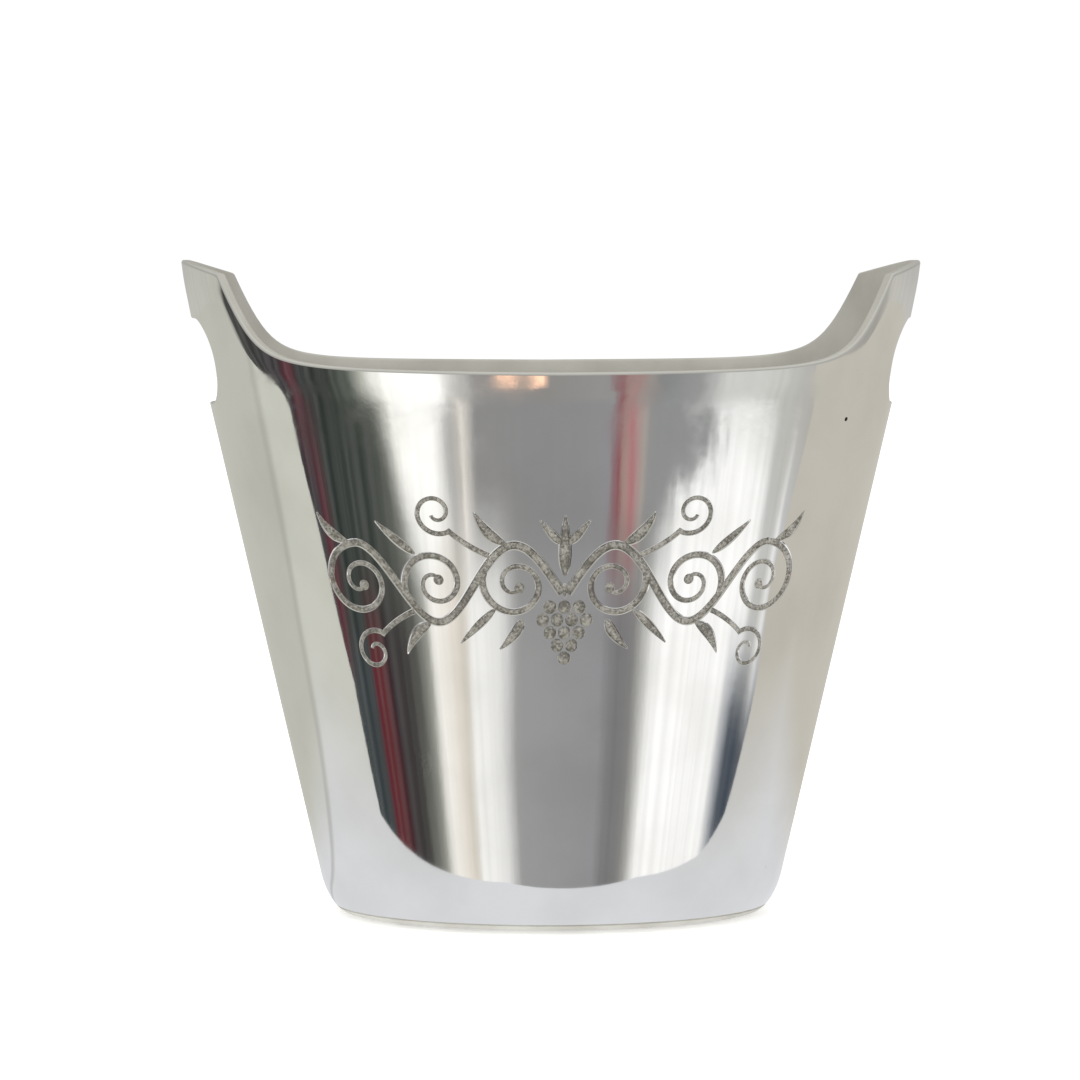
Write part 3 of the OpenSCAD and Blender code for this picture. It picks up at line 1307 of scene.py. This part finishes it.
@dataclass(frozen=True)
class Surroundings:
    """What a polished piece mirrors: upright bands of a room, by compass degrees from the front."""

    radius: float = 3.2
    low: Stops = (
        (-120, PALE), (-86, (0.5, 0.49, 0.46)), (-76, (0.05, 0.065, 0.07)), (-66, (0.04, 0.05, 0.055)),
        (-63.5, (0.14, 0.018, 0.028)), (-58, (0.12, 0.015, 0.022)), (-55, (0.04, 0.03, 0.035)),
        (-47, (0.06, 0.06, 0.055)), (-41, (0.36, 0.37, 0.33)), (-37, (1.15, 1.13, 1.08)),
        (-31, (1.0, 0.94, 0.86)), (-28, (0.75, 0.7, 0.62)), (-24, (1.1, 1.1, 1.08)),
        (-17, (0.95, 0.95, 0.94)), (-11, (0.37, 0.37, 0.375)), (14, (0.33, 0.33, 0.345)),
        (19, (0.21, 0.21, 0.22)), (25, (0.24, 0.24, 0.24)), (29, (0.5, 0.5, 0.48)), (34, (1.2, 1.2, 1.2)),
        (59, (1.15, 1.15, 1.15)), (63, (0.5, 0.52, 0.56)), (66.5, (0.05, 0.07, 0.1)),
        (80, (0.07, 0.085, 0.115)), (88, (0.3, 0.31, 0.33)), (120, PALE),
    )
    high: Stops = (
        (-120, PALE), (-92, (0.60, 0.60, 0.54)), (-84, (0.035, 0.04, 0.045)), (-78, (0.04, 0.04, 0.045)),
        (-76, (0.13, 0.025, 0.04)), (-72, (0.03, 0.04, 0.036)), (-54, (0.045, 0.055, 0.047)),
        (-46.5, (0.18, 0.19, 0.165)), (-39.5, (0.6, 0.6, 0.58)), (-36, (1.25, 1.25, 1.22)),
        (-31, (1.1, 1.1, 1.06)), (-28, (0.55, 0.55, 0.54)), (-25.5, (0.55, 0.53, 0.5)),
        (-24, (1.0, 0.95, 0.88)), (-20, (0.30, 0.30, 0.30)), (2, (0.29, 0.29, 0.30)),
        (14, (0.31, 0.31, 0.325)), (16.5, (0.26, 0.045, 0.07)), (19, (0.46, 0.34, 0.29)),
        (21, (0.48, 0.18, 0.2)), (23.5, (0.46, 0.41, 0.37)), (26, (0.3, 0.3, 0.31)),
        (29.5, (0.4, 0.41, 0.41)), (36, (1.2, 1.2, 1.2)), (65, (1.2, 1.2, 1.2)), (69.5, (0.66, 0.67, 0.66)),
        (74, (0.6, 0.6, 0.58)), (75.5, (1.15, 1.15, 1.15)), (77.5, (0.6, 0.61, 0.63)),
        (90, (0.6, 0.58, 0.54)), (120, PALE),
    )
    brow: Stops = (
        (-135, (0.62, 0.615, 0.57)), (-106, (0.60, 0.60, 0.54)), (-99, (0.05, 0.055, 0.05)),
        (-82, (0.045, 0.04, 0.045)), (-79, (0.13, 0.025, 0.04)), (-76, (0.035, 0.04, 0.04)),
        (-64, (0.035, 0.04, 0.035)), (-57, (0.09, 0.11, 0.09)), (-51, (0.55, 0.56, 0.5)),
        (-45, (1.3, 1.3, 1.25)), (-31, (1.4, 1.4, 1.38)), (-25, (0.7, 0.69, 0.66)),
        (-19, (0.34, 0.33, 0.32)), (-2, (0.3, 0.29, 0.28)), (14, (0.34, 0.34, 0.34)),
        (16.5, (0.28, 0.06, 0.08)), (18.5, (0.46, 0.37, 0.32)), (21, (0.46, 0.22, 0.22)),
        (23.5, (0.44, 0.41, 0.37)), (27, (0.26, 0.27, 0.28)), (38, (0.36, 0.37, 0.37)),
        (47, (0.75, 0.76, 0.74)), (60, (0.72, 0.73, 0.7)), (74, (0.56, 0.56, 0.53)),
        (86, (0.5, 0.48, 0.45)), (100, (0.4, 0.39, 0.36)), (112, (0.60, 0.59, 0.54)), (135, PALE),
    )

    @staticmethod
    def compass(recipe: Recipe) -> Wire:
        """Degrees from straight in front, positive towards +X, about the upright axis."""
        turn = recipe.axis("X").maths("ARCTAN2", recipe.axis("Y") * -1.0)
        return turn * (180 / math.pi)

    @staticmethod
    def bands(recipe: Recipe, place: Wire, stops: Stops) -> Wire:
        """A ramp over compass degrees."""
        spread = [((degrees + 180) / 360, colour) for degrees, colour in stops]
        share = (place + 180.0) / 360.0
        return recipe.put("ShaderNodeValToRGB", {"stops": spread}, {0: share})

    def fill_room(self, recipe: Recipe) -> Wire:
        """Lays the room's bands on the tent."""
        place = self.compass(recipe)
        rise = recipe.axis("Z") / self.radius
        wobble = (recipe.noise(1.6, 3.0) - 0.5) * 9.0
        lower = self.bands(recipe, place + wobble, self.low)
        polished = self.bands(recipe, place + wobble, self.high)
        # painted reflection: a grey patch in the mirrored room beside the white band, its edge ragged with
        # streaks
        streak_noise = (recipe.noise(7.0, 4.0, (1.0, 1.0, 10.0)) - 0.5) * 20.0
        edge_of_white = rise.step(-0.355, -0.295) * 20.0 + 27.0
        grey_patch = (place + streak_noise - edge_of_white).step(4.0, -4.0) * place.step(24.5, 28.0)
        upper = recipe.blend(grey_patch, polished, (0.31, 0.32, 0.32))
        front = recipe.blend(rise.step(-0.38, -0.335), lower, upper)
        flare = place.step(-54, -38) * place.step(-24, -36) * 0.075
        topmost = self.bands(recipe, place + wobble, self.brow)
        edge = recipe.blend((rise + flare).step(-0.305, -0.25), front, topmost)
        room = recipe.blend(rise.step(-0.05, 0.12), edge, (0.46, 0.455, 0.425))
        sky = recipe.blend(rise.step(0.2, 0.8), room, (0.66, 0.655, 0.61))
        streaks = {"W": place * 0.4, "Scale": 1.0, "Detail": 3.0}
        grain = recipe.put("ShaderNodeTexNoise", {"noise_dimensions": "1D"}, streaks)
        streaked = recipe.blend(grain.step(0.3, 0.7) * 0.16, sky, (0.34, 0.335, 0.33))
        lit = place.step(-15, -12) * place.step(-8, -10) + place.step(-6.5, -5) * place.step(-0.5, -3)
        lamps = lit * rise.step(-0.20, -0.17) * rise.step(-0.10, -0.13)
        return recipe.blend(lamps, streaked, (1.7, 1.05, 0.72))

    def fill_table(self, recipe: Recipe) -> Wire:
        """Lays the pale table that the lower wall mirrors, as painted light: a glow with a painted darker
        band and a painted dark line on it.
        """
        place = self.compass(recipe)
        # painted shade: a wavering dark line and a darker band left of it on the glowing table
        wobbled_place = place + (recipe.noise(3.0, 2.0) - 0.5) * 5.0
        painted_dark_line = wobbled_place.step(-100, -97) * wobbled_place.step(-93, -96.5)
        far = recipe.axis("X").maths("ABSOLUTE") + recipe.axis("Y").maths("ABSOLUTE")
        ends = recipe.blend(recipe.axis("X").step(-0.1, 0.1), (0.66, 0.665, 0.60), (0.60, 0.575, 0.515))
        cloth = recipe.blend(far.step(0.10, 0.42), (0.78, 0.795, 0.83), ends)
        shaded = recipe.blend(wobbled_place.step(-94, -100) * far.step(0.15, 0.4), cloth, (0.57, 0.57, 0.515))
        return recipe.blend(painted_dark_line * 0.5, shaded, (0.40, 0.40, 0.37))


@dataclass(frozen=True)
class StudioPaper(Finish):
    """Near-white paper with a faint glow."""

    name: str = "studio_paper"
    glow: float = 0.36

    def fill(self, recipe: Recipe) -> Sockets:
        """Gives the paper's plain values, which need no pattern."""
        return {
            "Base Color": (0.93, 0.93, 0.93),
            "Roughness": 0.9,
            "Specular IOR Level": 0.0,
            "Emission Color": WHITE,
            "Emission Strength": self.glow,
        }


@dataclass
class Studio:
    """Floor, soft light, what the metal mirrors, and the camera."""

    surroundings: Surroundings = field(default_factory=Surroundings)
    floor_size: float = 14.0
    table_edge: Tuple[Point2, ...] = (
        (-1.18, 0.62), (-1.12, 0.36), (-0.97, 0.11), (-0.87, 0.0), (-0.66, -0.115), (-0.47, -0.12),
        (-0.28, -0.105), (-0.15, -0.075), (-0.09, -0.085), (-0.03, -0.096), (0.05, -0.093), (0.1, -0.08),
        (0.15, -0.078), (0.28, -0.095), (0.41, -0.138), (0.66, -0.135), (0.92, -0.25), (1.3, -0.3),
    )
    table_back: float = 2.4
    table_lift: float = 0.0004
    eye: Triple = (-0.058, -1.499, 0.2434)
    pitch: float = 3.96
    yaw: float = -2.23
    lens: float = 134.1
    shift: float = -0.0116
    sensor: float = 36.0
    sky_strength: float = 1.02
    box_at: Triple = (-0.5, -0.9, 2.0)
    box_tilt: Point2 = (24, -13)
    box_size: float = 1.6
    box_energy: float = 8.0

    @staticmethod
    def unseen(obj: Thing) -> None:
        """Leaves an object to mirror reflections only."""
        for ray in ("camera", "diffuse", "transmission", "volume_scatter", "shadow"):
            setattr(obj, "visible_" + ray, False)

    def floor(self) -> None:
        """A plain pale floor, which the metal doesn't mirror."""
        floor = Bench.added("studio_floor", MESH.primitive_plane_add, size=self.floor_size)
        floor.data.materials.append(StudioPaper().material())
        floor.visible_glossy = False

    def room(self) -> None:
        """The tent of bands round the object."""
        ball = {"segments": 96, "ring_count": 48, "radius": self.surroundings.radius}
        tent = Bench.added("mirrored_room", MESH.primitive_uv_sphere_add, **ball)
        self.dress(tent, self.surroundings.fill_room)

    def dress(self, obj: Thing, fill: Callable[[Recipe], Wire]) -> None:
        """Gives a reflection-only object the glow that a pattern colours."""
        material = bpy.data.materials.new(obj.name)
        material.use_nodes = True
        recipe = Recipe(material.node_tree)
        glow = recipe.put("ShaderNodeEmission", {}, {"Color": fill(recipe), "Strength": 1.0})
        recipe.put("ShaderNodeOutputMaterial", {}, {"Surface": glow})
        obj.data.materials.append(material)
        self.unseen(obj)

    def table(self) -> None:
        """The table top, whose front edge the wall mirrors."""
        cells = {"x_subdivisions": len(self.table_edge) - 1, "y_subdivisions": 1}
        table = Bench.added("mirrored_table", MESH.primitive_grid_add, **cells, size=1.0)
        points = Bench.points(table)
        front = [(x, y, self.table_lift) for x, y in self.table_edge]
        back = [(x, self.table_back, self.table_lift) for x, _ in self.table_edge]
        front_first = points[0][1] < points[-1][1]
        Bench.put_points(table, np.array(front + back if front_first else back + front))
        self.dress(table, self.surroundings.fill_table)

    def light(self) -> None:
        """Even white light from all round, with one large soft box above."""
        world = bpy.data.worlds.new("studio_light")
        bpy.context.scene.world = world
        world.use_nodes = True
        recipe = Recipe(world.node_tree)
        sky = recipe.put("ShaderNodeBackground", {}, {"Color": WHITE, "Strength": self.sky_strength})
        recipe.put("ShaderNodeOutputWorld", {}, {"Surface": sky})
        turn = (math.radians(self.box_tilt[0]), math.radians(self.box_tilt[1]), 0)
        placing = {"type": "AREA", "location": self.box_at, "rotation": turn}
        box = Bench.added("soft_box", bpy.ops.object.light_add, **placing)
        box.data.shape = "DISK"
        box.data.size = self.box_size
        box.data.energy = self.box_energy
        box.visible_glossy = False
        box.visible_camera = False

    def camera(self) -> None:
        """The camera at the front, a little above the rim."""
        turn = (math.radians(90 - self.pitch), 0, math.radians(self.yaw))
        eye = Bench.added("eye", bpy.ops.object.camera_add, location=self.eye, rotation=turn)
        eye.data.lens = self.lens
        eye.data.sensor_width = self.sensor
        eye.data.shift_x = self.shift
        eye.data.clip_start = 0.01
        bpy.context.scene.camera = eye
        bpy.context.scene.view_settings.view_transform = "Standard"

    def build(self) -> None:
        """Sets up the whole studio."""
        self.camera()
        self.floor()
        self.room()
        self.table()
        self.light()


def main() -> None:
    """Builds every piece in order and fits it to the frame."""
    logging.basicConfig(level=logging.INFO, format="%(name)s %(message)s")
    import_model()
    form = BucketForm()
    satin = SatinCasting()
    Studio().build()
    wall = BucketWall(form, VineScroll())
    wall.build(*[finish.material() for finish in (PolishedCasting(), satin, EngravedFloor(), CastingPore())])
    pads = FeltPads()
    plate = SatinCasting("satin_plate", (0.78, 0.765, 0.69), (0.62, 0.60, 0.53), 0.42, 0.55)
    BasePlate(form).build(plate.material(), pads.places())
    SealingBead(form).build(WeldFiller().material())
    pads.build(PressedFelt().material())


if __name__ == "__main__":
    main()
